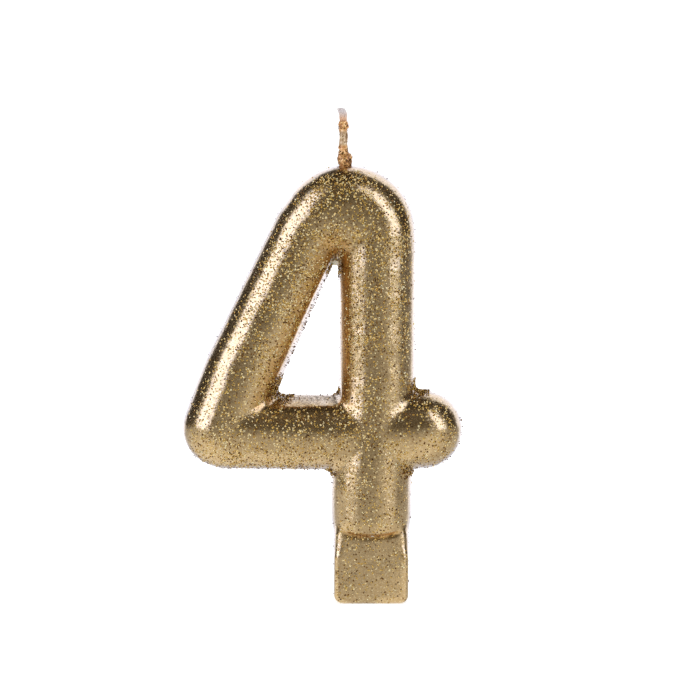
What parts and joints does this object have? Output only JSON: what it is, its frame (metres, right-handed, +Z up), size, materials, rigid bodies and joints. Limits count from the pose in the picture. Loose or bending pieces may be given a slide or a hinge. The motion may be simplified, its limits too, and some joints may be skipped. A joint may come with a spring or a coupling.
{
  "type": "number candle",
  "caption": "Numeral four birthday candle: round moulded strokes with a flat push-in stem, a metallic gold coat and a short plaited wick",
  "frame": {"origin": "centre of the flat end of the stem, with the whole candle above it", "axes": "+Z up along the candle to the wick; the numeral is read from the -Y side, so +X is the reader's right; Y is the thin direction and Y = 0 is the mould's parting plane"},
  "size_m": [0.0448, 0.0118, 0.0794],
  "materials": {
    "ivory_wax": "soft ivory paraffin wax, slightly translucent",
    "metallic_gold_coat": "semi-gloss pale gold metallic coat filled with fine gold glitter",
    "cotton_wick": "plaited off-white cotton primed with wax",
    "tinted_wick_wax": "thin set wax tinted copper-gold by the glitter coat"
  },
  "bodies": {
    "root": {"wax_body": "ivory_wax", "gold_coat": "metallic_gold_coat", "wick_strand_1": "cotton_wick", "wick_strand_2": "cotton_wick", "wick_strand_3": "cotton_wick", "wick_wax_sleeve": "tinted_wick_wax"}
  },
  "joints": []
}
